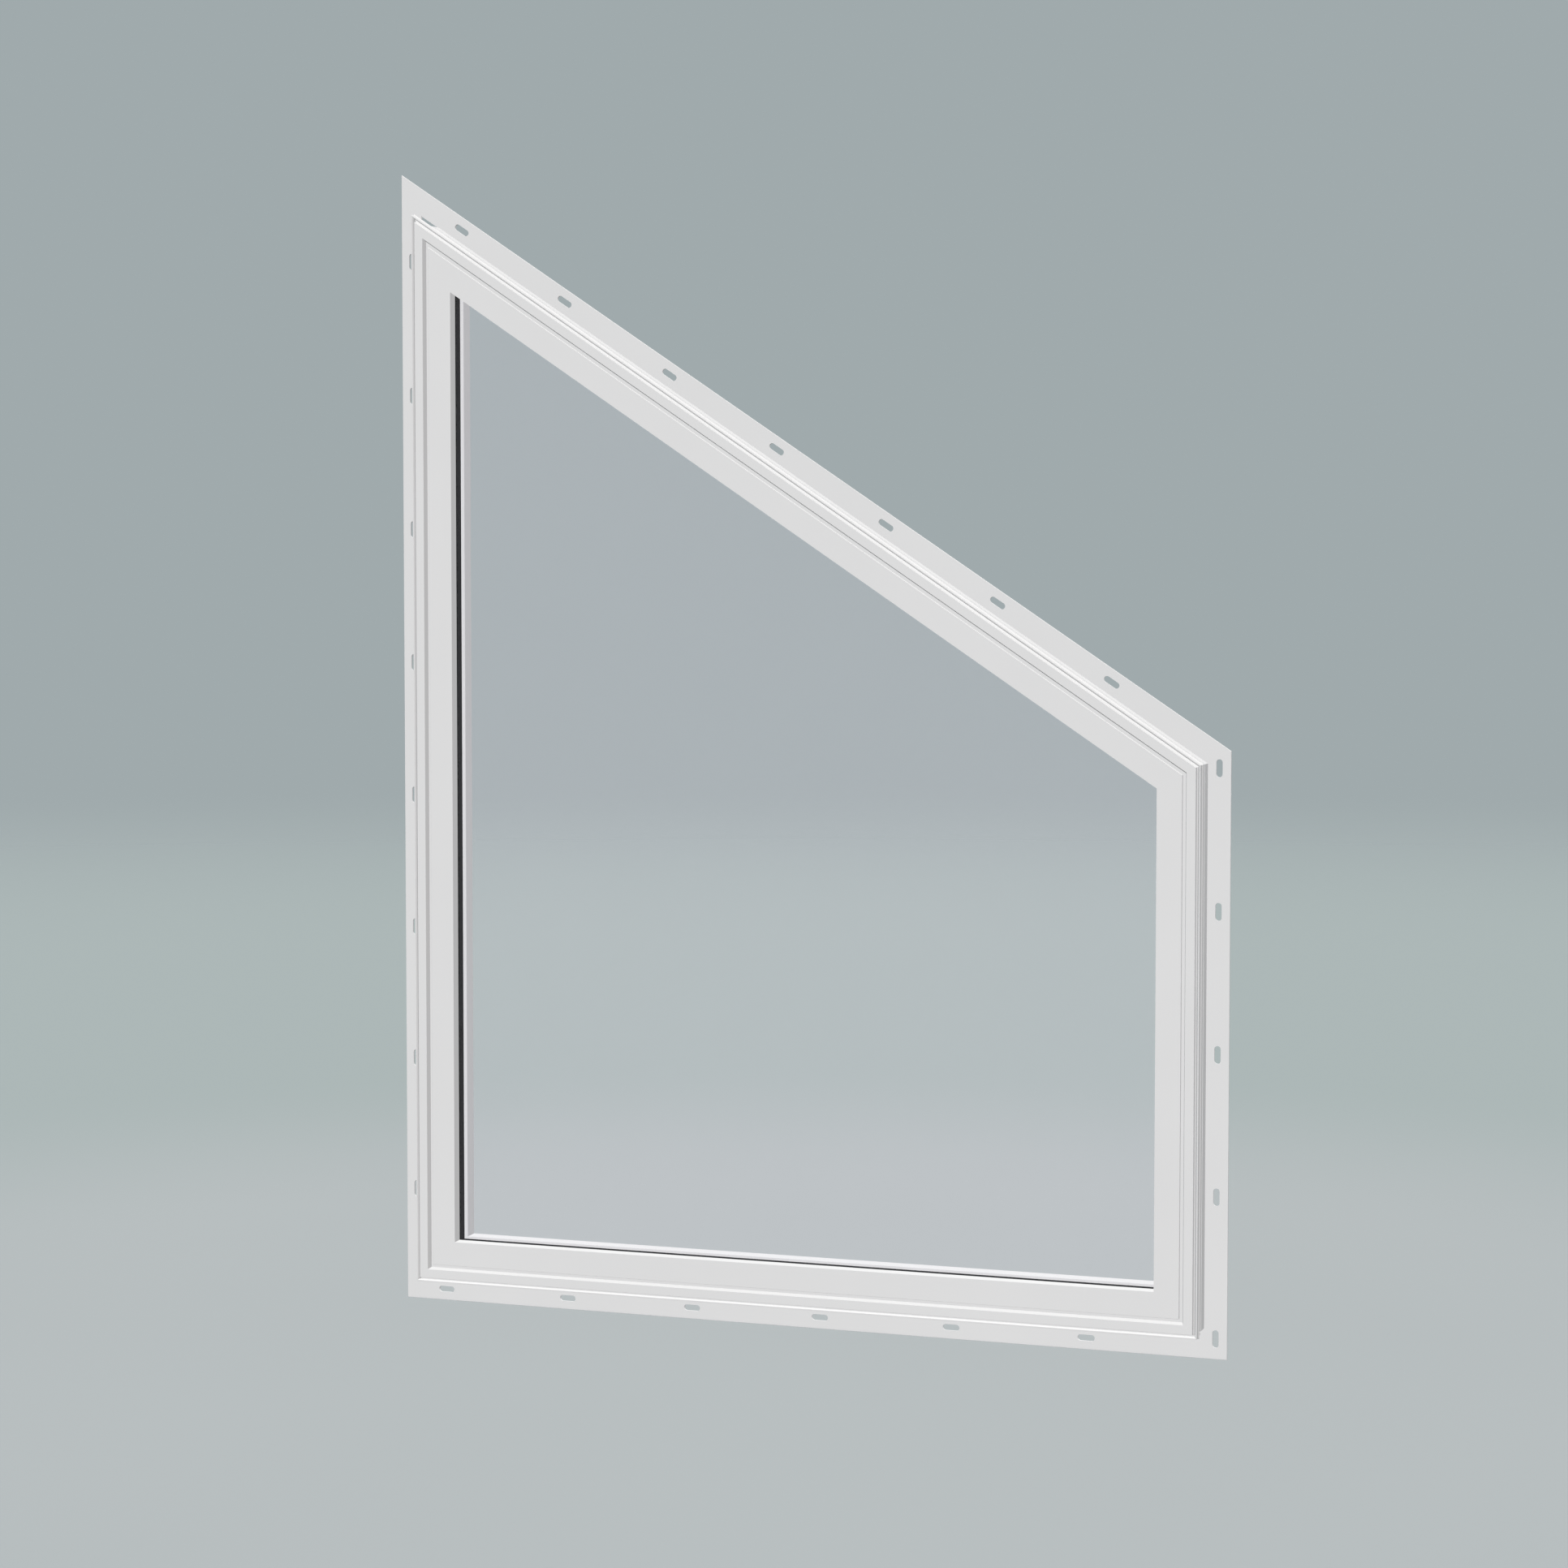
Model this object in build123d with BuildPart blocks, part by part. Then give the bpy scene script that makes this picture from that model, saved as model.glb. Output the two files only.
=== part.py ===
from build123d import *
import math
import os

# Fixed trapezoid window with a nailing fin, millimetres.
# Frame: +Z up, +X to the right, the outside of the building on the -Y side.
# Origin: on the back face of the sill's nailing fin, at mid-width, at the fin's bottom edge.

# ---------------------------------------------------------------- driving dimensions
frame_width = 1200.0        # over the clip legs of the fin
left_height = 1600.0        # tall side
right_height = 800.0        # short side
fin_projection = 34.0       # flange outside the frame's nominal size
fin_thickness = 3.0
slot_length = 25.0          # nailing slots, end to end
slot_width = 9.0
slot_inset = 16.4           # slot centre from the fin's outer edge
slot_pitch = 200.0
sill_slot_start = 65.4      # from the fin's left edge to the first slot
right_slot_start = 28.4     # from the fin's bottom edge to the first slot
tip_slot_start = 129.8      # from the tall corner of the fin, down the left side and along the head
sill_slots = 6
right_slots = 5
left_slots = 8
head_slots = 7

# section positions: u = inward from the fin's outer edge, v = outward from the fin's back face
flange_u = 32.7             # inner edge of the nailing flange, against the clip leg
leg_u = 36.2                # inner side of the clip leg
hook_u = 37.2               # tip of the clip leg's hook
rib_u = 38.9                # outer face of the frame's catch rib
wall_u = 40.3               # outer wall of the frame profile
front_v = 43.8              # outermost face of the frame
back_v = -26.2              # room-side face of the frame
sash_v = 39.35              # wide inner face of the frame
sight_u = 98.0              # edge of the frame at the glass
seat_v = 25.7               # back of the front glazing flange
rebate_u = 80.0             # floor of the glazing rebate
glass_u = 85.0              # edge of the glass
glass_t = 4.0
spacer_depth = 16.0
spacer_u = 95.9
outer_gasket_t = 3.0
bead_v = -6.15              # glass-side face of the glazing beads
bead_back_v = back_v        # room-side face of the glazing beads, flush with the frame

slope = (left_height - right_height) / frame_width
sec = math.hypot(1.0, slope)
half = frame_width / 2 + fin_projection
fin_left = fin_projection + left_height + fin_projection * (slope + sec)
fin_right = fin_projection + right_height + fin_projection * (sec - slope)
pitch_angle = -math.degrees(math.atan(slope))
head_length = math.hypot(2 * half, fin_left - fin_right)

outer_pane_v = seat_v - outer_gasket_t - glass_t        # back of the outer pane
spacer_v = outer_pane_v - spacer_depth                  # back of the spacer
inner_pane_v = spacer_v - glass_t                       # back of the inner pane

# ---------------------------------------------------------------- corners and directions
BL = Vector(-half, 0, 0)
TL = Vector(-half, 0, fin_left)
TR = Vector(half, 0, fin_right)
BR = Vector(half, 0, 0)

down = Vector(0, 0, -1)
right = Vector(1, 0, 0)
up = Vector(0, 0, 1)
back_up_slope = Vector(-1 / sec, 0, slope / sec)

# each section plane: x = inward (u), y = outward (v), normal = along the member
left_plane = Plane(origin=TL, x_dir=(1, 0, 0), z_dir=down)
sill_plane = Plane(origin=BL, x_dir=(0, 0, 1), z_dir=right)
right_plane = Plane(origin=BR, x_dir=(-1, 0, 0), z_dir=up)
head_plane = Plane(origin=TR, x_dir=(-slope / sec, 0, -1 / sec), z_dir=back_up_slope)

over = 120.0                # overrun of each bar before its ends are mitred


def mitre(corner, arriving, leaving):
    """Mitre plane of a corner; its normal points along the member that leaves it."""
    return Plane(origin=corner, z_dir=arriving + leaving)


mitre_bl = mitre(BL, down, right)
mitre_br = mitre(BR, right, up)
mitre_tr = mitre(TR, up, back_up_slope)
mitre_tl = mitre(TL, back_up_slope, down)


def inset(u):
    """Corners of the window outline, u inside the fin's outer edge."""
    return [
        (-half + u, u),
        (half - u, u),
        (half - u, fin_right + slope * u - sec * u),
        (-half + u, fin_left - slope * u - sec * u),
    ]


def pick(vertices, *points):
    """Profile corners at the given (u, v) points."""
    return [
        w for w in vertices
        if any(math.hypot(w.X - p[0], w.Y - p[1]) < 0.02 for p in points)
    ]


# ---------------------------------------------------------------- section outlines
fin_profile = [
    (0, 0), (flange_u, 0), (flange_u, fin_thickness), (0, fin_thickness),
]
leg_profile = [
    (flange_u, 0), (leg_u, 0), (leg_u, 35.8), (hook_u, 37.0), (hook_u, 39.4), (35.9, 41.8),
    (34.3, 41.8), (34.3, 32.0), (33.2, 30.0), (33.2, 21.7), (flange_u, 21.7),
]
frame_profile = [
    (wall_u, back_v), (wall_u, 0), (leg_u, 0), (leg_u, 2.5), (wall_u, 2.5),
    (wall_u, 28.0), (leg_u, 28.0), (leg_u, 31.0), (rib_u, 31.0), (rib_u, 35.4),
    (wall_u, 36.8), (wall_u, front_v), (53.5, front_v), (55.9, 35.6), (60.4, 35.6),
    (60.5, sash_v), (96.5, sash_v), (sight_u, seat_v), (rebate_u, seat_v), (rebate_u, back_v),
]
bead_profile = [
    (rebate_u, bead_back_v), (99.2, bead_back_v), (97.9, bead_v), (rebate_u, bead_v),
]
outer_gasket_profile = [
    (89.0, seat_v - outer_gasket_t), (sight_u, seat_v - outer_gasket_t),
    (sight_u, seat_v), (89.0, seat_v),
]
inner_gasket_profile = [
    (84.0, bead_v), (90.5, bead_v), (90.5, inner_pane_v), (84.0, inner_pane_v),
]
spacer_profile = [
    (86.0, spacer_v), (spacer_u, spacer_v), (spacer_u, outer_pane_v), (86.0, outer_pane_v),
]

os.makedirs("parts", exist_ok=True)

# ---------------------------------------------------------------- nailing fins
# Flat flanges, mitred at the corners and slotted for nails.
with BuildPart() as nail_fin_left:
    with BuildSketch(left_plane):
        with BuildLine():
            Polyline(fin_profile, close=True)
        outline = make_face()
        fillet(pick(outline.vertices(), (0, fin_thickness)), 0.5)
        chamfer(pick(outline.vertices(), (flange_u, fin_thickness)), 0.7)
    extrude(amount=fin_left + over)
    split(bisect_by=mitre_tl, keep=Keep.TOP)
    split(bisect_by=mitre_bl, keep=Keep.BOTTOM)
    with BuildSketch(Plane.XZ):
        with Locations([
            (-half + slot_inset, fin_left - tip_slot_start - slot_pitch * i)
            for i in range(left_slots)
        ]):
            SlotOverall(slot_length, slot_width, rotation=90)
    extrude(amount=fin_thickness + 2, both=True, mode=Mode.SUBTRACT)
nail_fin_left.part.label = "nail_fin_left"
export_step(nail_fin_left.part, "parts/nail_fin_left.step")

with BuildPart() as nail_fin_sill:
    with BuildSketch(sill_plane):
        with BuildLine():
            Polyline(fin_profile, close=True)
        outline = make_face()
        fillet(pick(outline.vertices(), (0, fin_thickness)), 0.5)
        chamfer(pick(outline.vertices(), (flange_u, fin_thickness)), 0.7)
    extrude(amount=2 * half)
    split(bisect_by=mitre_bl, keep=Keep.TOP)
    split(bisect_by=mitre_br, keep=Keep.BOTTOM)
    with BuildSketch(Plane.XZ):
        with Locations([
            (-half + sill_slot_start + slot_pitch * i, slot_inset) for i in range(sill_slots)
        ]):
            SlotOverall(slot_length, slot_width)
        # the lowest slot of the right-hand fin crosses the mitre
        with Locations([(half - slot_inset, right_slot_start)]):
            SlotOverall(slot_length, slot_width, rotation=90)
    extrude(amount=fin_thickness + 2, both=True, mode=Mode.SUBTRACT)
nail_fin_sill.part.label = "nail_fin_sill"
export_step(nail_fin_sill.part, "parts/nail_fin_sill.step")

with BuildPart() as nail_fin_right:
    with BuildSketch(right_plane):
        with BuildLine():
            Polyline(fin_profile, close=True)
        outline = make_face()
        fillet(pick(outline.vertices(), (0, fin_thickness)), 0.5)
        chamfer(pick(outline.vertices(), (flange_u, fin_thickness)), 0.7)
    extrude(amount=fin_right + over)
    split(bisect_by=mitre_br, keep=Keep.TOP)
    split(bisect_by=mitre_tr, keep=Keep.BOTTOM)
    with BuildSketch(Plane.XZ):
        with Locations([
            (half - slot_inset, right_slot_start + slot_pitch * i) for i in range(right_slots)
        ]):
            SlotOverall(slot_length, slot_width, rotation=90)
    extrude(amount=fin_thickness + 2, both=True, mode=Mode.SUBTRACT)
nail_fin_right.part.label = "nail_fin_right"
export_step(nail_fin_right.part, "parts/nail_fin_right.step")

head_slot_centres = [
    (
        -half + (tip_slot_start + slot_pitch * i) / sec - slot_inset * slope / sec,
        fin_left - (tip_slot_start + slot_pitch * i) * slope / sec - slot_inset / sec,
    )
    for i in range(head_slots)
]
with BuildPart() as nail_fin_head:
    with BuildSketch(head_plane.offset(-over)):
        with BuildLine():
            Polyline(fin_profile, close=True)
        outline = make_face()
        fillet(pick(outline.vertices(), (0, fin_thickness)), 0.5)
        chamfer(pick(outline.vertices(), (flange_u, fin_thickness)), 0.7)
    extrude(amount=head_length + over)
    split(bisect_by=mitre_tr, keep=Keep.TOP)
    split(bisect_by=mitre_tl, keep=Keep.BOTTOM)
    with BuildSketch(Plane.XZ):
        with Locations(head_slot_centres):
            SlotOverall(slot_length, slot_width, rotation=pitch_angle)
    extrude(amount=fin_thickness + 2, both=True, mode=Mode.SUBTRACT)
nail_fin_head.part.label = "nail_fin_head"
export_step(nail_fin_head.part, "parts/nail_fin_head.step")

# ---------------------------------------------------------------- clip legs
# Stepped leg that stands out from each flange's inner edge and hooks over the rib of the frame.
# At the sharp tall corner its foot is cut away, which leaves a narrow opening beside the flange;
# at the bottom right corner it stops 9 mm short of the sill, above the fin's front face.
relief_end = 95.8           # from the tall corner, along the head
relief_v = 29.8
front_view = Plane(origin=(0, 0, 0), x_dir=(1, 0, 0), z_dir=(0, -1, 0))


def relief_outline(x_start, u0, u1):
    """Front-view outline of the corner relief, between two insets from the head's outer edge."""
    x0 = -half + x_start

    def start(u):
        return (x0, fin_left - slope * x_start - sec * u)

    def end(u):
        return (
            -half + relief_end / sec - u * slope / sec,
            fin_left - relief_end * slope / sec - u / sec,
        )

    return [start(u0), end(u0), end(u1), start(u1)]


with BuildPart() as clip_leg_left:
    with BuildSketch(left_plane):
        with BuildLine():
            Polyline(leg_profile, close=True)
        outline = make_face()
        fillet(pick(outline.vertices(), (34.3, 41.8)), 0.4)
    extrude(amount=fin_left + over)
    split(bisect_by=mitre_tl, keep=Keep.TOP)
    split(bisect_by=mitre_bl, keep=Keep.BOTTOM)
    with BuildSketch(front_view.offset(-1.0)):
        with BuildLine():
            Polyline(relief_outline(31.0, 31.0, 38.5), close=True)
        make_face()
    extrude(amount=relief_v + 1.0, mode=Mode.SUBTRACT)
clip_leg_left.part.label = "clip_leg_left"
export_step(clip_leg_left.part, "parts/clip_leg_left.step")

with BuildPart() as clip_leg_sill:
    with BuildSketch(sill_plane):
        with BuildLine():
            Polyline(leg_profile, close=True)
        outline = make_face()
        fillet(pick(outline.vertices(), (34.3, 41.8)), 0.4)
    extrude(amount=2 * half)
    split(bisect_by=mitre_bl, keep=Keep.TOP)
    split(bisect_by=mitre_br, keep=Keep.BOTTOM)
    with BuildSketch(front_view.offset(fin_thickness)):
        with Locations([(half - 34.75, 36.3)]):
            Rectangle(7.5, 12.6)
    extrude(amount=relief_v - fin_thickness, mode=Mode.SUBTRACT)
clip_leg_sill.part.label = "clip_leg_sill"
export_step(clip_leg_sill.part, "parts/clip_leg_sill.step")

with BuildPart() as clip_leg_right:
    with BuildSketch(right_plane):
        with BuildLine():
            Polyline(leg_profile, close=True)
        outline = make_face()
        fillet(pick(outline.vertices(), (34.3, 41.8)), 0.4)
    extrude(amount=fin_right + over)
    split(bisect_by=mitre_br, keep=Keep.TOP)
    split(bisect_by=mitre_tr, keep=Keep.BOTTOM)
    with BuildSketch(front_view.offset(fin_thickness)):
        with Locations([(half - 34.75, 36.3)]):
            Rectangle(7.5, 12.6)
    extrude(amount=relief_v - fin_thickness, mode=Mode.SUBTRACT)
clip_leg_right.part.label = "clip_leg_right"
export_step(clip_leg_right.part, "parts/clip_leg_right.step")

with BuildPart() as clip_leg_head:
    with BuildSketch(head_plane.offset(-over)):
        with BuildLine():
            Polyline(leg_profile, close=True)
        outline = make_face()
        fillet(pick(outline.vertices(), (34.3, 41.8)), 0.4)
    extrude(amount=head_length + over)
    split(bisect_by=mitre_tr, keep=Keep.TOP)
    split(bisect_by=mitre_tl, keep=Keep.BOTTOM)
    with BuildSketch(front_view.offset(-1.0)):
        with BuildLine():
            Polyline(relief_outline(32.7, 33.8, 38.5), close=True)
        make_face()
    extrude(amount=relief_v + 1.0, mode=Mode.SUBTRACT)
    with BuildSketch(front_view.offset(fin_thickness)):
        with BuildLine():
            Polyline(relief_outline(31.0, 31.0, 38.5), close=True)
        make_face()
    extrude(amount=relief_v - fin_thickness, mode=Mode.SUBTRACT)
clip_leg_head.part.label = "clip_leg_head"
export_step(clip_leg_head.part, "parts/clip_leg_head.step")

# ---------------------------------------------------------------- frame members
# White plastic profile with mitred, welded corners: outer face, steep bevel, narrow groove,
# wide inner face and a glazing rebate open to the room side.
frame_edges = [(wall_u, front_v), (60.5, sash_v), (wall_u, back_v)]
frame_lips = [(53.5, front_v), (96.5, sash_v)]

with BuildPart() as frame_left_jamb:
    with BuildSketch(left_plane):
        with BuildLine():
            Polyline(frame_profile, close=True)
        outline = make_face()
        fillet(pick(outline.vertices(), *frame_edges), 0.6)
        fillet(pick(outline.vertices(), *frame_lips), 2.1)
    extrude(amount=fin_left + over)
    split(bisect_by=mitre_tl, keep=Keep.TOP)
    split(bisect_by=mitre_bl, keep=Keep.BOTTOM)
    # the lower rib stops short of the tall corner, behind the relief in the clip leg
    with BuildSketch(front_view.offset(-1.0)):
        with BuildLine():
            Polyline(relief_outline(30.0, 30.0, wall_u), close=True)
        make_face()
    extrude(amount=4.0, mode=Mode.SUBTRACT)
frame_left_jamb.part.label = "frame_left_jamb"
export_step(frame_left_jamb.part, "parts/frame_left_jamb.step")

with BuildPart() as frame_sill:
    with BuildSketch(sill_plane):
        with BuildLine():
            Polyline(frame_profile, close=True)
        outline = make_face()
        fillet(pick(outline.vertices(), *frame_edges), 0.6)
        fillet(pick(outline.vertices(), *frame_lips), 2.1)
    extrude(amount=2 * half)
    split(bisect_by=mitre_bl, keep=Keep.TOP)
    split(bisect_by=mitre_br, keep=Keep.BOTTOM)
frame_sill.part.label = "frame_sill"
export_step(frame_sill.part, "parts/frame_sill.step")

with BuildPart() as frame_right_jamb:
    with BuildSketch(right_plane):
        with BuildLine():
            Polyline(frame_profile, close=True)
        outline = make_face()
        fillet(pick(outline.vertices(), *frame_edges), 0.6)
        fillet(pick(outline.vertices(), *frame_lips), 2.1)
    extrude(amount=fin_right + over)
    split(bisect_by=mitre_br, keep=Keep.TOP)
    split(bisect_by=mitre_tr, keep=Keep.BOTTOM)
frame_right_jamb.part.label = "frame_right_jamb"
export_step(frame_right_jamb.part, "parts/frame_right_jamb.step")

with BuildPart() as frame_head:
    with BuildSketch(head_plane.offset(-over)):
        with BuildLine():
            Polyline(frame_profile, close=True)
        outline = make_face()
        fillet(pick(outline.vertices(), *frame_edges), 0.6)
        fillet(pick(outline.vertices(), *frame_lips), 2.1)
    extrude(amount=head_length + over)
    split(bisect_by=mitre_tr, keep=Keep.TOP)
    split(bisect_by=mitre_tl, keep=Keep.BOTTOM)
    # the lower rib stops short of the tall corner, behind the relief in the clip leg
    with BuildSketch(front_view.offset(-1.0)):
        with BuildLine():
            Polyline(relief_outline(30.0, 30.0, wall_u), close=True)
        make_face()
    extrude(amount=4.0, mode=Mode.SUBTRACT)
frame_head.part.label = "frame_head"
export_step(frame_head.part, "parts/frame_head.step")

# ---------------------------------------------------------------- glazing beads (room side)
with BuildPart() as glazing_bead_left:
    with BuildSketch(left_plane):
        with BuildLine():
            Polyline(bead_profile, close=True)
        outline = make_face()
        fillet(pick(outline.vertices(), (99.2, bead_back_v)), 0.5)
        fillet(pick(outline.vertices(), (97.9, bead_v)), 0.3)
    extrude(amount=fin_left + over)
    split(bisect_by=mitre_tl, keep=Keep.TOP)
    split(bisect_by=mitre_bl, keep=Keep.BOTTOM)
glazing_bead_left.part.label = "glazing_bead_left"
export_step(glazing_bead_left.part, "parts/glazing_bead_left.step")

with BuildPart() as glazing_bead_sill:
    with BuildSketch(sill_plane):
        with BuildLine():
            Polyline(bead_profile, close=True)
        outline = make_face()
        fillet(pick(outline.vertices(), (99.2, bead_back_v)), 0.5)
        fillet(pick(outline.vertices(), (97.9, bead_v)), 0.3)
    extrude(amount=2 * half)
    split(bisect_by=mitre_bl, keep=Keep.TOP)
    split(bisect_by=mitre_br, keep=Keep.BOTTOM)
glazing_bead_sill.part.label = "glazing_bead_sill"
export_step(glazing_bead_sill.part, "parts/glazing_bead_sill.step")

with BuildPart() as glazing_bead_right:
    with BuildSketch(right_plane):
        with BuildLine():
            Polyline(bead_profile, close=True)
        outline = make_face()
        fillet(pick(outline.vertices(), (99.2, bead_back_v)), 0.5)
        fillet(pick(outline.vertices(), (97.9, bead_v)), 0.3)
    extrude(amount=fin_right + over)
    split(bisect_by=mitre_br, keep=Keep.TOP)
    split(bisect_by=mitre_tr, keep=Keep.BOTTOM)
glazing_bead_right.part.label = "glazing_bead_right"
export_step(glazing_bead_right.part, "parts/glazing_bead_right.step")

with BuildPart() as glazing_bead_head:
    with BuildSketch(head_plane.offset(-over)):
        with BuildLine():
            Polyline(bead_profile, close=True)
        outline = make_face()
        fillet(pick(outline.vertices(), (99.2, bead_back_v)), 0.5)
        fillet(pick(outline.vertices(), (97.9, bead_v)), 0.3)
    extrude(amount=head_length + over)
    split(bisect_by=mitre_tr, keep=Keep.TOP)
    split(bisect_by=mitre_tl, keep=Keep.BOTTOM)
glazing_bead_head.part.label = "glazing_bead_head"
export_step(glazing_bead_head.part, "parts/glazing_bead_head.step")

# ---------------------------------------------------------------- outer gaskets
with BuildPart() as outer_gasket_left:
    with BuildSketch(left_plane):
        with BuildLine():
            Polyline(outer_gasket_profile, close=True)
        make_face()
    extrude(amount=fin_left + over)
    split(bisect_by=mitre_tl, keep=Keep.TOP)
    split(bisect_by=mitre_bl, keep=Keep.BOTTOM)
outer_gasket_left.part.label = "outer_gasket_left"
export_step(outer_gasket_left.part, "parts/outer_gasket_left.step")

with BuildPart() as outer_gasket_sill:
    with BuildSketch(sill_plane):
        with BuildLine():
            Polyline(outer_gasket_profile, close=True)
        make_face()
    extrude(amount=2 * half)
    split(bisect_by=mitre_bl, keep=Keep.TOP)
    split(bisect_by=mitre_br, keep=Keep.BOTTOM)
outer_gasket_sill.part.label = "outer_gasket_sill"
export_step(outer_gasket_sill.part, "parts/outer_gasket_sill.step")

with BuildPart() as outer_gasket_right:
    with BuildSketch(right_plane):
        with BuildLine():
            Polyline(outer_gasket_profile, close=True)
        make_face()
    extrude(amount=fin_right + over)
    split(bisect_by=mitre_br, keep=Keep.TOP)
    split(bisect_by=mitre_tr, keep=Keep.BOTTOM)
outer_gasket_right.part.label = "outer_gasket_right"
export_step(outer_gasket_right.part, "parts/outer_gasket_right.step")

with BuildPart() as outer_gasket_head:
    with BuildSketch(head_plane.offset(-over)):
        with BuildLine():
            Polyline(outer_gasket_profile, close=True)
        make_face()
    extrude(amount=head_length + over)
    split(bisect_by=mitre_tr, keep=Keep.TOP)
    split(bisect_by=mitre_tl, keep=Keep.BOTTOM)
outer_gasket_head.part.label = "outer_gasket_head"
export_step(outer_gasket_head.part, "parts/outer_gasket_head.step")

# ---------------------------------------------------------------- inner gaskets
with BuildPart() as inner_gasket_left:
    with BuildSketch(left_plane):
        with BuildLine():
            Polyline(inner_gasket_profile, close=True)
        make_face()
    extrude(amount=fin_left + over)
    split(bisect_by=mitre_tl, keep=Keep.TOP)
    split(bisect_by=mitre_bl, keep=Keep.BOTTOM)
inner_gasket_left.part.label = "inner_gasket_left"
export_step(inner_gasket_left.part, "parts/inner_gasket_left.step")

with BuildPart() as inner_gasket_sill:
    with BuildSketch(sill_plane):
        with BuildLine():
            Polyline(inner_gasket_profile, close=True)
        make_face()
    extrude(amount=2 * half)
    split(bisect_by=mitre_bl, keep=Keep.TOP)
    split(bisect_by=mitre_br, keep=Keep.BOTTOM)
inner_gasket_sill.part.label = "inner_gasket_sill"
export_step(inner_gasket_sill.part, "parts/inner_gasket_sill.step")

with BuildPart() as inner_gasket_right:
    with BuildSketch(right_plane):
        with BuildLine():
            Polyline(inner_gasket_profile, close=True)
        make_face()
    extrude(amount=fin_right + over)
    split(bisect_by=mitre_br, keep=Keep.TOP)
    split(bisect_by=mitre_tr, keep=Keep.BOTTOM)
inner_gasket_right.part.label = "inner_gasket_right"
export_step(inner_gasket_right.part, "parts/inner_gasket_right.step")

with BuildPart() as inner_gasket_head:
    with BuildSketch(head_plane.offset(-over)):
        with BuildLine():
            Polyline(inner_gasket_profile, close=True)
        make_face()
    extrude(amount=head_length + over)
    split(bisect_by=mitre_tr, keep=Keep.TOP)
    split(bisect_by=mitre_tl, keep=Keep.BOTTOM)
inner_gasket_head.part.label = "inner_gasket_head"
export_step(inner_gasket_head.part, "parts/inner_gasket_head.step")

# ---------------------------------------------------------------- spacer bars between the panes
with BuildPart() as spacer_left:
    with BuildSketch(left_plane):
        with BuildLine():
            Polyline(spacer_profile, close=True)
        make_face()
    extrude(amount=fin_left + over)
    split(bisect_by=mitre_tl, keep=Keep.TOP)
    split(bisect_by=mitre_bl, keep=Keep.BOTTOM)
spacer_left.part.label = "spacer_left"
export_step(spacer_left.part, "parts/spacer_left.step")

with BuildPart() as spacer_sill:
    with BuildSketch(sill_plane):
        with BuildLine():
            Polyline(spacer_profile, close=True)
        make_face()
    extrude(amount=2 * half)
    split(bisect_by=mitre_bl, keep=Keep.TOP)
    split(bisect_by=mitre_br, keep=Keep.BOTTOM)
spacer_sill.part.label = "spacer_sill"
export_step(spacer_sill.part, "parts/spacer_sill.step")

with BuildPart() as spacer_right:
    with BuildSketch(right_plane):
        with BuildLine():
            Polyline(spacer_profile, close=True)
        make_face()
    extrude(amount=fin_right + over)
    split(bisect_by=mitre_br, keep=Keep.TOP)
    split(bisect_by=mitre_tr, keep=Keep.BOTTOM)
spacer_right.part.label = "spacer_right"
export_step(spacer_right.part, "parts/spacer_right.step")

with BuildPart() as spacer_head:
    with BuildSketch(head_plane.offset(-over)):
        with BuildLine():
            Polyline(spacer_profile, close=True)
        make_face()
    extrude(amount=head_length + over)
    split(bisect_by=mitre_tr, keep=Keep.TOP)
    split(bisect_by=mitre_tl, keep=Keep.BOTTOM)
spacer_head.part.label = "spacer_head"
export_step(spacer_head.part, "parts/spacer_head.step")

# ---------------------------------------------------------------- glass panes
with BuildPart() as outer_pane:
    with BuildSketch(Plane.XZ.offset(outer_pane_v)):
        with BuildLine():
            Polyline(inset(glass_u), close=True)
        make_face()
    extrude(amount=glass_t)
outer_pane.part.label = "outer_pane"
export_step(outer_pane.part, "parts/outer_pane.step")

with BuildPart() as inner_pane:
    with BuildSketch(Plane.XZ.offset(inner_pane_v)):
        with BuildLine():
            Polyline(inset(glass_u), close=True)
        make_face()
    extrude(amount=glass_t)
inner_pane.part.label = "inner_pane"
export_step(inner_pane.part, "parts/inner_pane.step")
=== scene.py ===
import bpy
import math
from mathutils import Matrix, Vector

# Trapezoid window: white plastic frame, slotted nailing fin, sealed double glazing.
# Metres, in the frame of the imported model: +Z up, outside of the building towards -Y.

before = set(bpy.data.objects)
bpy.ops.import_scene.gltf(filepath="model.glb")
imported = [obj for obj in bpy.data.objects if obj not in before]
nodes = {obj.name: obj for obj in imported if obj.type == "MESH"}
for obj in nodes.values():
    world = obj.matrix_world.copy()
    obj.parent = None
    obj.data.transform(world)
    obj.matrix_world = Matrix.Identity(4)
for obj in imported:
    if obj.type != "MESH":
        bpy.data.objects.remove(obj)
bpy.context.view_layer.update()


# ---------------------------------------------------------------- node helpers
def new_material(name):
    m = bpy.data.materials.new(name)
    m.use_nodes = True
    nt = m.node_tree
    nt.nodes.clear()
    out = nt.nodes.new("ShaderNodeOutputMaterial")
    return m, nt, out


def add(nt, kind, **values):
    n = nt.nodes.new(kind)
    for k, v in values.items():
        if hasattr(n, k):
            setattr(n, k, v)
        else:
            n.inputs[k.replace("_", " ")].default_value = v
    return n


def ramp(nt, source, stops):
    r = nt.nodes.new("ShaderNodeValToRGB")
    e = r.color_ramp.elements
    while len(e) > 1:
        e.remove(e[-1])
    for i, (pos, col) in enumerate(stops):
        if not isinstance(col, tuple):
            col = (col, col, col)
        if i == 0:
            e[0].position = pos
            el = e[0]
        else:
            el = e.new(pos)
        el.color = (*col, 1.0)
    nt.links.new(source, r.inputs["Fac"])
    return r.outputs["Color"]


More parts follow.
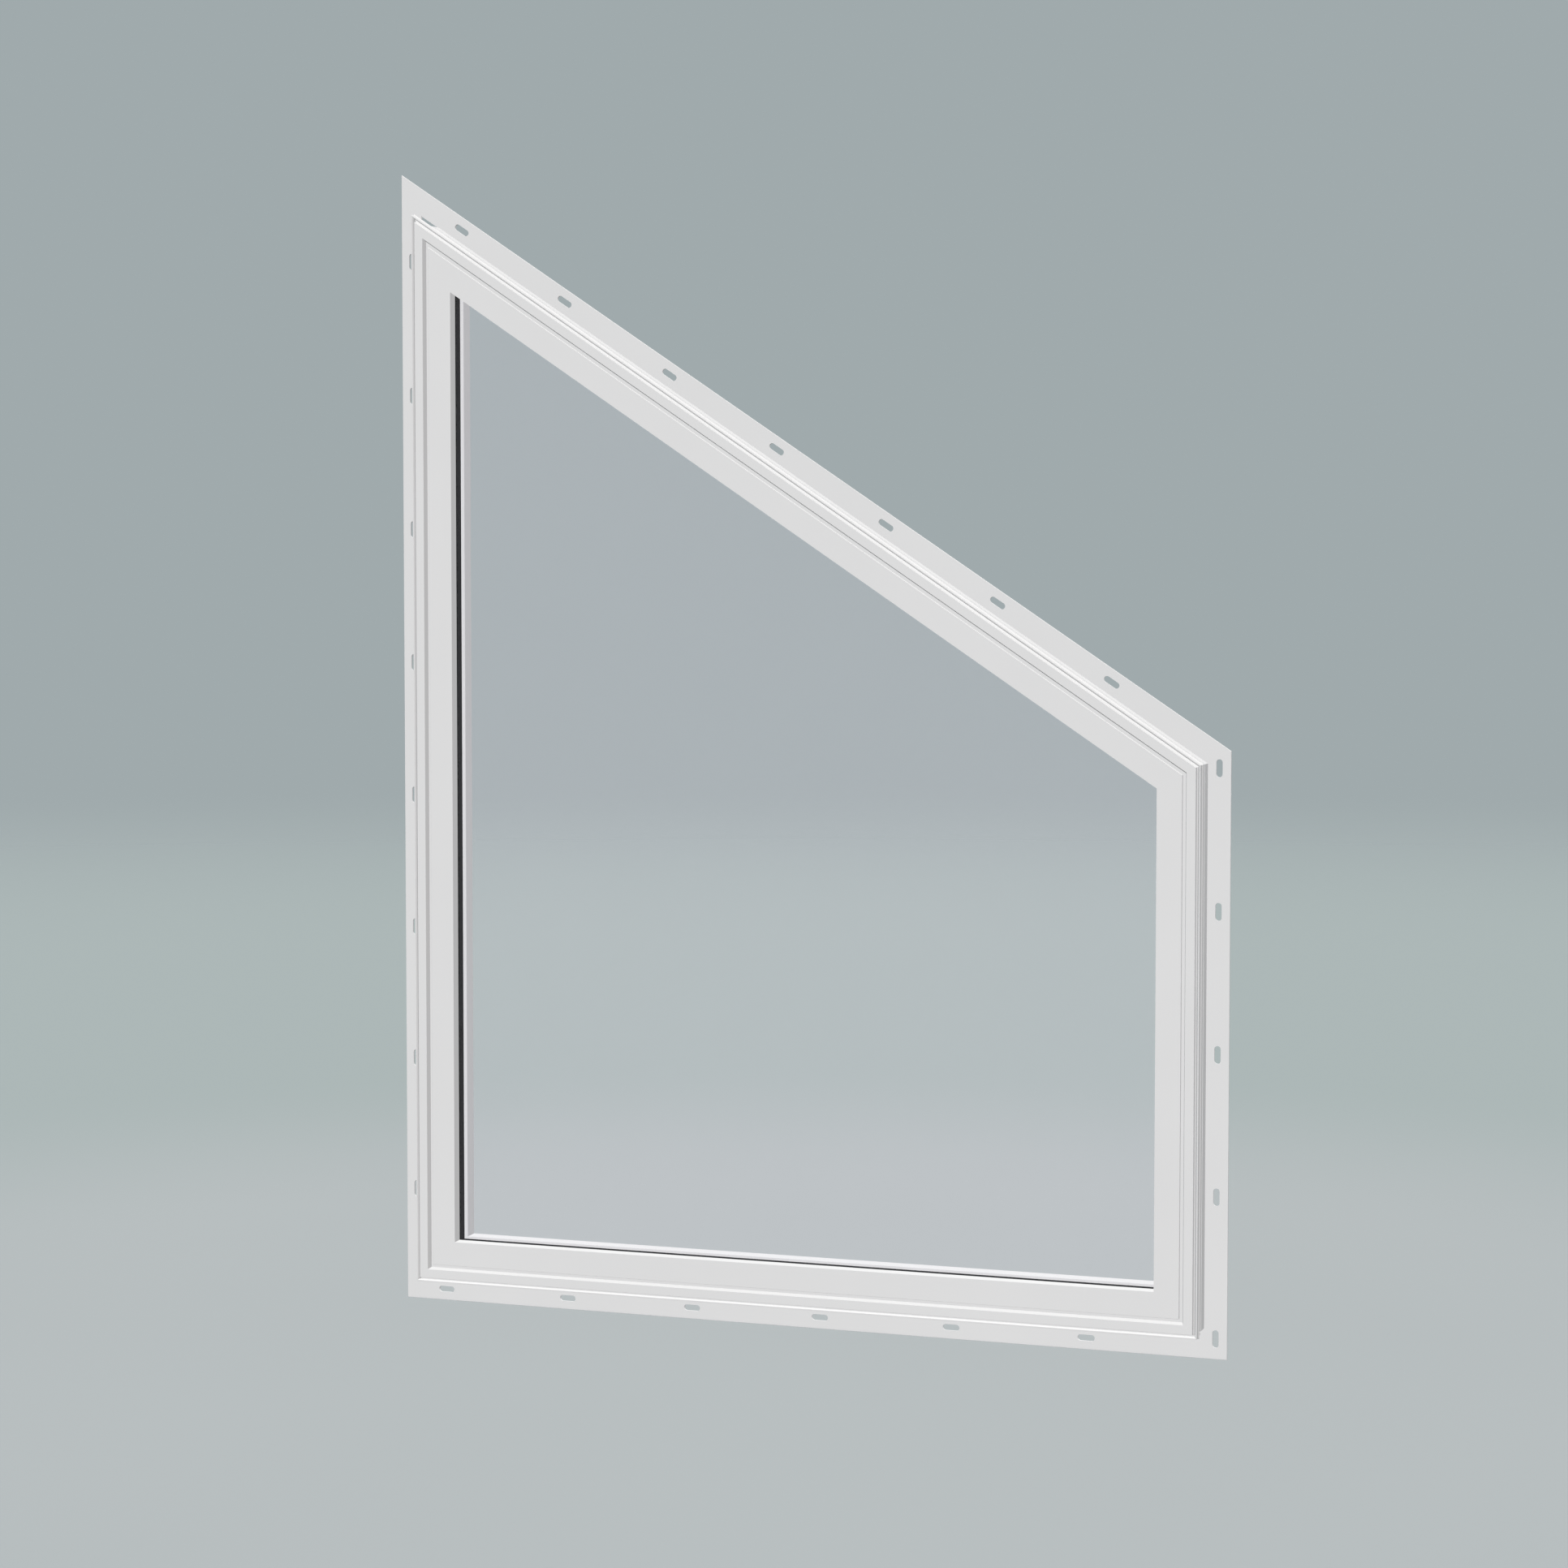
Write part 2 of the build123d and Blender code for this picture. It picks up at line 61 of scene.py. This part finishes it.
def noise(nt, scale_xyz, scale, detail=3.0, rough=0.5):
    """Noise in object coordinates (metres), stretched by scale_xyz."""
    tc = nt.nodes.new("ShaderNodeTexCoord")
    mp = nt.nodes.new("ShaderNodeMapping")
    mp.inputs["Scale"].default_value = scale_xyz
    nt.links.new(tc.outputs["Object"], mp.inputs["Vector"])
    n = nt.nodes.new("ShaderNodeTexNoise")
    n.inputs["Scale"].default_value = scale
    n.inputs["Detail"].default_value = detail
    n.inputs["Roughness"].default_value = rough
    nt.links.new(mp.outputs["Vector"], n.inputs["Vector"])
    return n.outputs["Fac"]


def turned(nt, angle):
    """Object coordinates turned about Y, so that X runs along a sloped member."""
    tc = nt.nodes.new("ShaderNodeTexCoord")
    mp = nt.nodes.new("ShaderNodeMapping")
    mp.inputs["Rotation"].default_value = (0.0, angle, 0.0)
    nt.links.new(tc.outputs["Object"], mp.inputs["Vector"])
    return mp.outputs["Vector"]


# ---------------------------------------------------------------- materials
SLOPE = math.atan((1600.0 - 800.0) / 1200.0)


def white_plastic(name, angle, tone=(0.800, 0.800, 0.800)):
    """Extruded white PVC: faint die lines along the member, fine satin grain."""
    m, nt, out = new_material(name)
    p = nt.nodes.new("ShaderNodeBsdfPrincipled")
    p.inputs["IOR"].default_value = 1.5
    p.inputs["Specular IOR Level"].default_value = 0.35
    nt.links.new(p.outputs[0], out.inputs["Surface"])

    along = turned(nt, angle)
    st = nt.nodes.new("ShaderNodeMapping")
    st.inputs["Scale"].default_value = (0.35, 60.0, 60.0)
    nt.links.new(along, st.inputs["Vector"])
    lines = nt.nodes.new("ShaderNodeTexNoise")
    lines.inputs["Scale"].default_value = 9.0
    lines.inputs["Detail"].default_value = 4.0
    nt.links.new(st.outputs["Vector"], lines.inputs["Vector"])

    cloud = noise(nt, (1, 1, 1), 5.0, 3.0)
    grain = noise(nt, (1, 1, 1), 2600.0, 2.0)

    # colour: a breath of tone variation over tens of centimetres
    lo = tuple(c * 0.985 for c in tone)
    base = ramp(nt, cloud, [(0.35, lo), (0.65, tone)])
    # painted shade: the steep bevel inside the front face, picked out by its facing and its depth, is darkened as if in
    # the shade of its groove
    geo = nt.nodes.new("ShaderNodeNewGeometry")
    facing = nt.nodes.new("ShaderNodeSeparateXYZ")
    nt.links.new(geo.outputs["Normal"], facing.inputs[0])
    tc = nt.nodes.new("ShaderNodeTexCoord")
    place = nt.nodes.new("ShaderNodeSeparateXYZ")
    nt.links.new(tc.outputs["Object"], place.inputs[0])
    groove_shade_mask = None
    for source, kind, limit in (
        (facing, "LESS_THAN", -0.15),
        (facing, "GREATER_THAN", -0.45),
        (place, "LESS_THAN", -0.0357),
        (place, "GREATER_THAN", -0.0434),
    ):
        test = nt.nodes.new("ShaderNodeMath")
        test.operation = kind
        nt.links.new(source.outputs["Y"], test.inputs[0])
        test.inputs[1].default_value = limit
        if groove_shade_mask is None:
            groove_shade_mask = test.outputs[0]
        else:
            both = nt.nodes.new("ShaderNodeMath")
            both.operation = "MULTIPLY"
            nt.links.new(groove_shade_mask, both.inputs[0])
            nt.links.new(test.outputs[0], both.inputs[1])
            groove_shade_mask = both.outputs[0]
    # painted shade: the base colour is multiplied by 0.92 inside the bevel mask
    painted_groove_shade = nt.nodes.new("ShaderNodeMix")
    painted_groove_shade.data_type = "RGBA"
    painted_groove_shade.blend_type = "MULTIPLY"
    nt.links.new(groove_shade_mask, painted_groove_shade.inputs[0])
    nt.links.new(base, painted_groove_shade.inputs[6])
    painted_groove_shade.inputs[7].default_value = (0.92, 0.92, 0.92, 1.0)
    nt.links.new(painted_groove_shade.outputs[2], p.inputs["Base Color"])
    # roughness: satin, a little uneven along the extrusion
    mix = nt.nodes.new("ShaderNodeMath")
    mix.operation = "MULTIPLY_ADD"
    nt.links.new(lines.outputs["Fac"], mix.inputs[0])
    mix.inputs[1].default_value = 0.10
    mix.inputs[2].default_value = 0.42
    nt.links.new(mix.outputs[0], p.inputs["Roughness"])
    # relief: grain of hundredths of a millimetre over shallow die lines
    b1 = nt.nodes.new("ShaderNodeBump")
    b1.inputs["Strength"].default_value = 0.12
    b1.inputs["Distance"].default_value = 0.00003
    nt.links.new(grain, b1.inputs["Height"])
    b2 = nt.nodes.new("ShaderNodeBump")
    b2.inputs["Strength"].default_value = 0.10
    b2.inputs["Distance"].default_value = 0.00004
    nt.links.new(lines.outputs["Fac"], b2.inputs["Height"])
    nt.links.new(b1.outputs["Normal"], b2.inputs["Normal"])
    nt.links.new(b2.outputs["Normal"], p.inputs["Normal"])
    return m


def black_rubber(name):
    """Extruded weather gasket: matt black with a dusty bloom."""
    m, nt, out = new_material(name)
    p = nt.nodes.new("ShaderNodeBsdfPrincipled")
    p.inputs["Specular IOR Level"].default_value = 0.10
    nt.links.new(p.outputs[0], out.inputs["Surface"])
    cloud = noise(nt, (1, 1, 1), 40.0, 4.0)
    fine = noise(nt, (1, 1, 1), 1800.0, 2.0)
    nt.links.new(ramp(nt, cloud, [(0.3, (0.010, 0.010, 0.011)), (0.75, (0.018, 0.018, 0.019))]), p.inputs["Base Color"])
    nt.links.new(ramp(nt, cloud, [(0.3, 0.55), (0.7, 0.72)]), p.inputs["Roughness"])
    b = nt.nodes.new("ShaderNodeBump")
    b.inputs["Strength"].default_value = 0.25
    b.inputs["Distance"].default_value = 0.00005
    nt.links.new(fine, b.inputs["Height"])
    nt.links.new(b.outputs["Normal"], p.inputs["Normal"])
    return m


def black_spacer(name):
    """Warm-edge spacer bar between the panes: matt black foam with a faint weave."""
    m, nt, out = new_material(name)
    p = nt.nodes.new("ShaderNodeBsdfPrincipled")
    p.inputs["Specular IOR Level"].default_value = 0.05
    nt.links.new(p.outputs[0], out.inputs["Surface"])
    cells = nt.nodes.new("ShaderNodeTexVoronoi")
    cells.inputs["Scale"].default_value = 700.0
    tc = nt.nodes.new("ShaderNodeTexCoord")
    nt.links.new(tc.outputs["Object"], cells.inputs["Vector"])
    nt.links.new(ramp(nt, cells.outputs["Distance"], [(0.0, (0.009, 0.009, 0.010)), (0.8, (0.003, 0.003, 0.0035))]), p.inputs["Base Color"])
    nt.links.new(ramp(nt, cells.outputs["Distance"], [(0.0, 0.62), (0.8, 0.8)]), p.inputs["Roughness"])
    b = nt.nodes.new("ShaderNodeBump")
    b.inputs["Strength"].default_value = 0.3
    b.inputs["Distance"].default_value = 0.00008
    nt.links.new(cells.outputs["Distance"], b.inputs["Height"])
    nt.links.new(b.outputs["Normal"], p.inputs["Normal"])
    return m


def window_glass(name, tone, ior):
    """Float glass: polished, with the faintest uneven film on its surface."""
    m, nt, out = new_material(name)
    p = nt.nodes.new("ShaderNodeBsdfPrincipled")
    p.inputs["IOR"].default_value = ior
    p.inputs["Transmission Weight"].default_value = 1.0
    nt.links.new(p.outputs[0], out.inputs["Surface"])
    film = noise(nt, (1, 1, 1), 9.0, 4.0)
    lo = tuple(c * 0.997 for c in tone)
    nt.links.new(ramp(nt, film, [(0.35, lo), (0.65, tone)]), p.inputs["Base Color"])
    nt.links.new(ramp(nt, film, [(0.35, 0.0), (0.75, 0.006)]), p.inputs["Roughness"])
    return m


upright = math.radians(90)
plastic = {
    "left": white_plastic("white_plastic_left", upright),
    "right": white_plastic("white_plastic_right", upright),
    "sill": white_plastic("white_plastic_sill", 0.0),
    "head": white_plastic("white_plastic_head", -SLOPE),
}
rubber = black_rubber("black_rubber")
spacer = black_spacer("black_spacer")
# the outer pane reflects little, the coated room-side pane more
outer_glass = window_glass("outer_glass", (0.992, 0.994, 0.996), 1.29)
inner_glass = window_glass("inner_glass", (0.990, 0.985, 0.998), 1.56)


def material_for(name):
    if name == "outer_pane":
        return outer_glass
    if name == "inner_pane":
        return inner_glass
    if "gasket" in name:
        return rubber
    if name.startswith("spacer"):
        return spacer
    for side in ("left", "right", "sill", "head"):
        if side in name:
            return plastic[side]
    raise ValueError(name)


for name, o in nodes.items():
    m = material_for(name)
    if not o.material_slots:
        o.data.materials.append(m)
    for s in o.material_slots:
        s.link = "OBJECT"
        s.material = m

# light passes through the panes
for name in ("outer_pane", "inner_pane"):
    nodes[name].visible_shadow = False
# even studio light: the members neither shade, light nor mirror one another
for o in nodes.values():
    o.visible_diffuse = False
    o.visible_glossy = False
    o.visible_shadow = False

# ---------------------------------------------------------------- floor
bpy.ops.mesh.primitive_circle_add(vertices=96, radius=18.0, fill_type="NGON", location=(0, 0, 0))
floor = bpy.context.object
floor.name = "studio_floor"
fm, nt, out = new_material("studio_floor")
# floor colour inside the painted pool of light, and the unlit far floor
FLOOR_LIT_POOL = (0.389, 0.421, 0.429)
FLOOR_LIT_POOL_LOW = tuple(c * 0.98 for c in FLOOR_LIT_POOL)
FLOOR_FAR = (0.335, 0.385, 0.385)
p = nt.nodes.new("ShaderNodeBsdfPrincipled")
p.inputs["Roughness"].default_value = 0.9
p.inputs["Specular IOR Level"].default_value = 0.1
tc = nt.nodes.new("ShaderNodeTexCoord")
ln = nt.nodes.new("ShaderNodeVectorMath")
ln.operation = "LENGTH"
nt.links.new(tc.outputs["Object"], ln.inputs[0])
# pale grey, with a painted pool of light close to the window: lighter within 1.2 m, easing to the darker far grey by
# 2.8 m
light_pool_falloff = nt.nodes.new("ShaderNodeMapRange")
light_pool_falloff.interpolation_type = "SMOOTHSTEP"
light_pool_falloff.inputs["From Min"].default_value = 1.2
light_pool_falloff.inputs["From Max"].default_value = 2.8
nt.links.new(ln.outputs["Value"], light_pool_falloff.inputs["Value"])
tone = nt.nodes.new("ShaderNodeMix")
tone.data_type = "RGBA"
nt.links.new(light_pool_falloff.outputs["Result"], tone.inputs["Factor"])
nt.links.new(
    ramp(nt, noise(nt, (1, 1, 1), 0.6, 2.0), [(0.3, FLOOR_LIT_POOL_LOW), (0.7, FLOOR_LIT_POOL)]),
    tone.inputs["A"],
)
tone.inputs["B"].default_value = (*FLOOR_FAR, 1.0)
nt.links.new(tone.outputs["Result"], p.inputs["Base Color"])
# the floor fades out between 6 and 14 m from the window, so that it has no hard far edge
mr = nt.nodes.new("ShaderNodeMapRange")
mr.interpolation_type = "SMOOTHSTEP"
mr.inputs["From Min"].default_value = 5.5
mr.inputs["From Max"].default_value = 14.5
nt.links.new(ln.outputs["Value"], mr.inputs["Value"])
tr = nt.nodes.new("ShaderNodeBsdfTransparent")
mx = nt.nodes.new("ShaderNodeMixShader")
nt.links.new(mr.outputs["Result"], mx.inputs[0])
nt.links.new(p.outputs[0], mx.inputs[1])
nt.links.new(tr.outputs[0], mx.inputs[2])
nt.links.new(mx.outputs[0], out.inputs["Surface"])
floor.data.materials.append(fm)
floor.visible_diffuse = False
floor.visible_glossy = False

# ---------------------------------------------------------------- light
world = bpy.data.worlds.new("studio")
bpy.context.scene.world = world
world.use_nodes = True
wnt = world.node_tree
wnt.nodes.clear()
wo = wnt.nodes.new("ShaderNodeOutputWorld")
bg = wnt.nodes.new("ShaderNodeBackground")
wtc = wnt.nodes.new("ShaderNodeTexCoord")
sep = wnt.nodes.new("ShaderNodeSeparateXYZ")
wnt.links.new(wtc.outputs["Generated"], sep.inputs[0])
WALL = (0.352, 0.402, 0.414)
# below the horizon the studio falls off to a dark floor
low = wnt.nodes.new("ShaderNodeMapRange")
low.interpolation_type = "SMOOTHSTEP"
low.inputs["From Min"].default_value = -0.10
low.inputs["From Max"].default_value = -0.60
wnt.links.new(sep.outputs["Z"], low.inputs["Value"])
m1 = wnt.nodes.new("ShaderNodeMix")
m1.data_type = "RGBA"
m1.inputs["A"].default_value = (*WALL, 1.0)
m1.inputs["B"].default_value = (0.03, 0.03, 0.03, 1.0)
wnt.links.new(low.outputs["Result"], m1.inputs["Factor"])
# soft box: a bright screen in front of the window
box = wnt.nodes.new("ShaderNodeMapRange")
box.interpolation_type = "SMOOTHSTEP"
box.inputs["From Min"].default_value = -0.76
box.inputs["From Max"].default_value = -0.86
wnt.links.new(sep.outputs["Y"], box.inputs["Value"])
m2 = wnt.nodes.new("ShaderNodeMix")
m2.data_type = "RGBA"
m2.inputs["B"].default_value = (0.86, 0.85, 0.90, 1.0)
wnt.links.new(box.outputs["Result"], m2.inputs["Factor"])
wnt.links.new(m1.outputs["Result"], m2.inputs["A"])
wnt.links.new(m2.outputs["Result"], bg.inputs["Color"])
bg.inputs["Strength"].default_value = 1.0
wnt.links.new(bg.outputs[0], wo.inputs["Surface"])


def sun(name, towards, strength, angle, colour=(1, 1, 1)):
    """A soft distant light that shines along the direction towards and casts no shadow."""
    d = bpy.data.lights.new(name, "SUN")
    d.energy = strength
    d.angle = math.radians(angle)
    d.color = colour
    d.use_shadow = False
    o = bpy.data.objects.new(name, d)
    bpy.context.scene.collection.objects.link(o)
    o.visible_glossy = False
    o.visible_transmission = False
    o.rotation_mode = "QUATERNION"
    o.rotation_quaternion = Vector(towards).normalized().to_track_quat("-Z", "Y")
    return o


sun("front", (0.0, 1.0, 0.0), 1.41, 8, (1.0, 0.96, 0.915))
sun("right", (-0.978, -0.208, 0.0), 0.76, 8, (1.0, 0.85, 0.82))
sun("top", (0.0, -0.208, -0.978), 2.76, 8, (1.0, 0.94, 0.92))
sun("left", (1.0, 0.0, 0.0), 0.12, 8, (1.0, 0.88, 0.85))
sun("back", (0.0, -1.0, 0.0), 1.00, 8, (1.0, 0.93, 0.91))

# ---------------------------------------------------------------- camera
F_PX, SIDE = 4127.49, 1932.0
yaw, pitch, roll = math.radians(19.803), math.radians(-3.065), math.radians(0.012)
fwd = Vector((-math.sin(yaw) * math.cos(pitch), math.cos(yaw) * math.cos(pitch), math.sin(pitch)))
right = Vector((math.cos(yaw), math.sin(yaw), 0.0))
up = right.cross(fwd)
r2 = right * math.cos(roll) + up * math.sin(roll)
u2 = -right * math.sin(roll) + up * math.cos(roll)
cam = bpy.data.cameras.new("camera")
cam.sensor_width = 36.0
cam.lens = F_PX / SIDE * 36.0
cam.clip_start, cam.clip_end = 0.1, 200.0
co = bpy.data.objects.new("camera", cam)
bpy.context.scene.collection.objects.link(co)
rot = Matrix((
    (r2.x, u2.x, -fwd.x),
    (r2.y, u2.y, -fwd.y),
    (r2.z, u2.z, -fwd.z),
))
co.matrix_world = Matrix.Translation((1.62138, -4.57326, 1.05486)) @ rot.to_4x4()
bpy.context.scene.camera = co

bpy.context.scene.view_settings.view_transform = "Standard"
bpy.context.scene.view_settings.look = "None"
